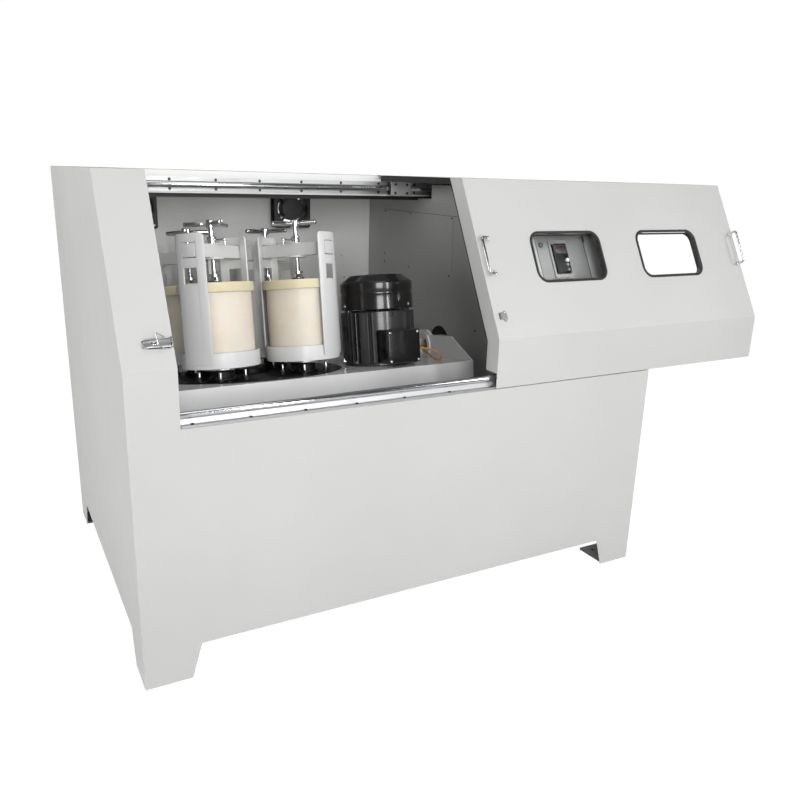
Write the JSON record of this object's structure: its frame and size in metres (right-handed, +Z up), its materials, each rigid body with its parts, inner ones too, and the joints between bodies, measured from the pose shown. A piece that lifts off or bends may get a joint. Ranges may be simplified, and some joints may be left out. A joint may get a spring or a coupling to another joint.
{
  "type": "planetary ball mill",
  "caption": "Floor-standing planetary ball mill: clamped jars on a turntable, carried by a motor-driven cradle inside a sheet-metal cabinet with a sliding windowed door.",
  "frame": {"origin": "on the floor under the middle of the cabinet, at the centre of its four anchor holes", "axes": "+X to the right seen from the front, the way the door opens; -Y is the front; +Z up"},
  "size_m": [2.21, 1.2366, 1.31],
  "materials": {
    "cabinet_paint": "light grey powder coat, satin",
    "inner_paint": "light grey powder coat, satin",
    "frame_paint": "grey paint",
    "chrome": "hard chromed and polished",
    "aluminium": "extruded, satin",
    "steel": "machined steel",
    "fastener_steel": "zinc plated",
    "black_metal": "gloss black paint",
    "black_plastic": "matt black",
    "black_rubber": "matt black",
    "belt_rubber": "matt black",
    "glass": "clear",
    "holder_paint": "light grey paint, satin",
    "nylon": "cream nylon",
    "nylon_lid": "yellowish nylon",
    "cable_orange": "orange cable sheath",
    "bearing_paint": "green-grey paint",
    "gearbox_paint": "blue-grey paint"
  },
  "bodies": {
    "cabinet": {"base_frame": "frame_paint", "left_side_panel": "cabinet_paint", "lower_front_panel": "cabinet_paint", "right_side_panel": "cabinet_paint", "rear_roof_panel": "cabinet_paint", "control_housing": "inner_paint", "rail_supports": "aluminium", "rail_rods": "chrome", "screws": "fastener_steel", "fan_housings": "black_plastic", "latch_base": "chrome", "trunnion_bearings": "bearing_paint", "tilt_gearbox": "gearbox_paint"},
    "control_panel": {"control_door": "inner_paint", "keypad": "black_plastic"},
    "knob": {"keypad_knob": "steel"},
    "fan_left": {"fan_rotor_left": "black_plastic"},
    "fan_right": {"fan_rotor_right": "black_plastic"},
    "latch_lever": {"latch_lever": "chrome"},
    "latch_bail": {"latch_bail": "chrome"},
    "door": {"door_shell": "cabinet_paint", "window_panes": "glass", "window_gaskets": "black_rubber", "door_carriages": "steel", "latch_keeper": "steel"},
    "handle_left": {"door_handle_left": "chrome"},
    "handle_right": {"door_handle_right": "chrome"},
    "cradle": {"cradle_tray": "holder_paint", "sun_pulley": "steel", "drive_belts": "belt_rubber", "motor_stator": "black_metal", "fan_cowl": "black_metal", "motor_cable": "cable_orange"},
    "rotor": {"motor_rotor": "steel"},
    "turntable": {"turntable": "black_metal", "planet_belts": "belt_rubber"},
    "planet_a": {"holder_a": "holder_paint", "jar_a": "nylon", "lid_a": "nylon_lid", "crossbar_a": "holder_paint"},
    "pad_a": {"pressure_pad_a": "chrome"},
    "clamp_a": {"clamp_screw_a": "chrome"},
    "planet_b": {"holder_b": "holder_paint", "jar_b": "nylon", "lid_b": "nylon_lid", "crossbar_b": "holder_paint"},
    "pad_b": {"pressure_pad_b": "chrome"},
    "clamp_b": {"clamp_screw_b": "chrome"},
    "planet_c": {"holder_c": "holder_paint", "jar_c": "nylon", "lid_c": "nylon_lid", "crossbar_c": "holder_paint"},
    "pad_c": {"pressure_pad_c": "chrome"},
    "clamp_c": {"clamp_screw_c": "chrome"},
    "planet_d": {"holder_d": "holder_paint", "jar_d": "nylon", "lid_d": "nylon_lid", "crossbar_d": "holder_paint"},
    "pad_d": {"pressure_pad_d": "chrome"},
    "clamp_d": {"clamp_screw_d": "chrome"}
  },
  "joints": [
    {"name": "door_slide", "type": "slide", "parent": "cabinet", "child": "door", "axis": [1, 0, 0], "range_m": [-0.938, 0]},
    {"name": "handle_left_fold", "type": "hinge", "parent": "door", "child": "handle_left", "pos_m": [0.253, -0.49291, 1.0884], "axis": [0, 0.4756, 0.8797], "range_deg": [0, 70]},
    {"name": "handle_right_fold", "type": "hinge", "parent": "door", "child": "handle_right", "pos_m": [1.338, -0.49291, 1.0884], "axis": [0, 0.4756, 0.8797], "range_deg": [-70, 0]},
    {"name": "latch_lever_turn", "type": "hinge", "parent": "cabinet", "child": "latch_lever", "pos_m": [-0.729, -0.5859, 0.91643], "axis": [0, 0.4756, 0.8797], "range_deg": [0, 150]},
    {"name": "latch_bail_swing", "type": "hinge", "parent": "latch_lever", "child": "latch_bail", "pos_m": [-0.744, -0.5859, 0.91643], "axis": [0, 0.4756, 0.8797], "range_deg": [-32, 0]},
    {"name": "control_door_hinge", "type": "hinge", "parent": "cabinet", "child": "control_panel", "pos_m": [0.7092, -0.43721, 1.01395], "axis": [0, 0.4756, 0.8797], "range_deg": [0, 15]},
    {"name": "knob_turn", "type": "hinge", "parent": "control_panel", "child": "knob", "pos_m": [0.605, -0.42567, 1.05716], "axis": [0, -0.8797, 0.4756], "range_deg": [-150, 150]},
    {"name": "fan_left_spin", "type": "hinge", "parent": "cabinet", "child": "fan_left", "pos_m": [-0.582, 0.58, 1.172], "axis": [0, -1, 0], "continuous": true},
    {"name": "fan_right_spin", "type": "hinge", "parent": "cabinet", "child": "fan_right", "pos_m": [0.022, 0.58, 1.172], "axis": [0, -1, 0], "continuous": true},
    {"name": "cradle_turn", "type": "hinge", "parent": "cabinet", "child": "cradle", "pos_m": [0, 0, 0.705], "axis": [1, 0, 0], "continuous": true},
    {"name": "turntable_spin", "type": "hinge", "parent": "cradle", "child": "turntable", "pos_m": [-0.35, 0, 0.705], "axis": [0, 0.165, 0.9863], "continuous": true},
    {"name": "motor_spin", "type": "hinge", "parent": "cradle", "child": "rotor", "pos_m": [0.082, -0.10356, 0.72233], "axis": [0, 0.165, 0.9863], "continuous": true},
    {"name": "planet_a_spin", "type": "hinge", "parent": "turntable", "child": "planet_a", "pos_m": [-0.48285, -0.13808, 0.72811], "axis": [0, 0.165, 0.9863], "continuous": true},
    {"name": "pad_a_slide", "type": "slide", "parent": "planet_a", "child": "pad_a", "axis": [0, 0.165, 0.9863], "range_m": [0, 0.0151]},
    {"name": "clamp_a_turn", "type": "hinge", "parent": "pad_a", "child": "clamp_a", "pos_m": [-0.48285, -0.13808, 0.72811], "axis": [0, 0.165, 0.9863], "range_deg": [0, 1800]},
    {"name": "planet_b_spin", "type": "hinge", "parent": "turntable", "child": "planet_b", "pos_m": [-0.21, -0.13103, 0.72693], "axis": [0, 0.165, 0.9863], "continuous": true},
    {"name": "pad_b_slide", "type": "slide", "parent": "planet_b", "child": "pad_b", "axis": [0, 0.165, 0.9863], "range_m": [0, 0.0151]},
    {"name": "clamp_b_turn", "type": "hinge", "parent": "pad_b", "child": "clamp_b", "pos_m": [-0.21, -0.13103, 0.72693], "axis": [0, 0.165, 0.9863], "range_deg": [0, 1800]},
    {"name": "planet_c_spin", "type": "hinge", "parent": "turntable", "child": "planet_c", "pos_m": [-0.49, 0.13103, 0.68307], "axis": [0, 0.165, 0.9863], "continuous": true},
    {"name": "pad_c_slide", "type": "slide", "parent": "planet_c", "child": "pad_c", "axis": [0, 0.165, 0.9863], "range_m": [0, 0.0151]},
    {"name": "clamp_c_turn", "type": "hinge", "parent": "pad_c", "child": "clamp_c", "pos_m": [-0.49, 0.13103, 0.68307], "axis": [0, 0.165, 0.9863], "range_deg": [0, 1800]},
    {"name": "planet_d_spin", "type": "hinge", "parent": "turntable", "child": "planet_d", "pos_m": [-0.21715, 0.13808, 0.68189], "axis": [0, 0.165, 0.9863], "continuous": true},
    {"name": "pad_d_slide", "type": "slide", "parent": "planet_d", "child": "pad_d", "axis": [0, 0.165, 0.9863], "range_m": [0, 0.0151]},
    {"name": "clamp_d_turn", "type": "hinge", "parent": "pad_d", "child": "clamp_d", "pos_m": [-0.21715, 0.13808, 0.68189], "axis": [0, 0.165, 0.9863], "range_deg": [0, 1800]}
  ],
  "couplings": [
    {"joint": "motor_spin", "follows": "turntable_spin", "ratio": 4.2093},
    {"joint": "latch_bail_swing", "follows": "latch_lever_turn", "ratio": -0.2133},
    {"joint": "planet_a_spin", "follows": "turntable_spin", "ratio": -1.9917},
    {"joint": "pad_a_slide", "follows": "clamp_a_turn", "m_per_rad": 0.000477},
    {"joint": "planet_b_spin", "follows": "turntable_spin", "ratio": -1.9917},
    {"joint": "pad_b_slide", "follows": "clamp_b_turn", "m_per_rad": 0.000477},
    {"joint": "planet_c_spin", "follows": "turntable_spin", "ratio": -1.9917},
    {"joint": "pad_c_slide", "follows": "clamp_c_turn", "m_per_rad": 0.000477},
    {"joint": "planet_d_spin", "follows": "turntable_spin", "ratio": -1.9917},
    {"joint": "pad_d_slide", "follows": "clamp_d_turn", "m_per_rad": 0.000477}
  ]
}
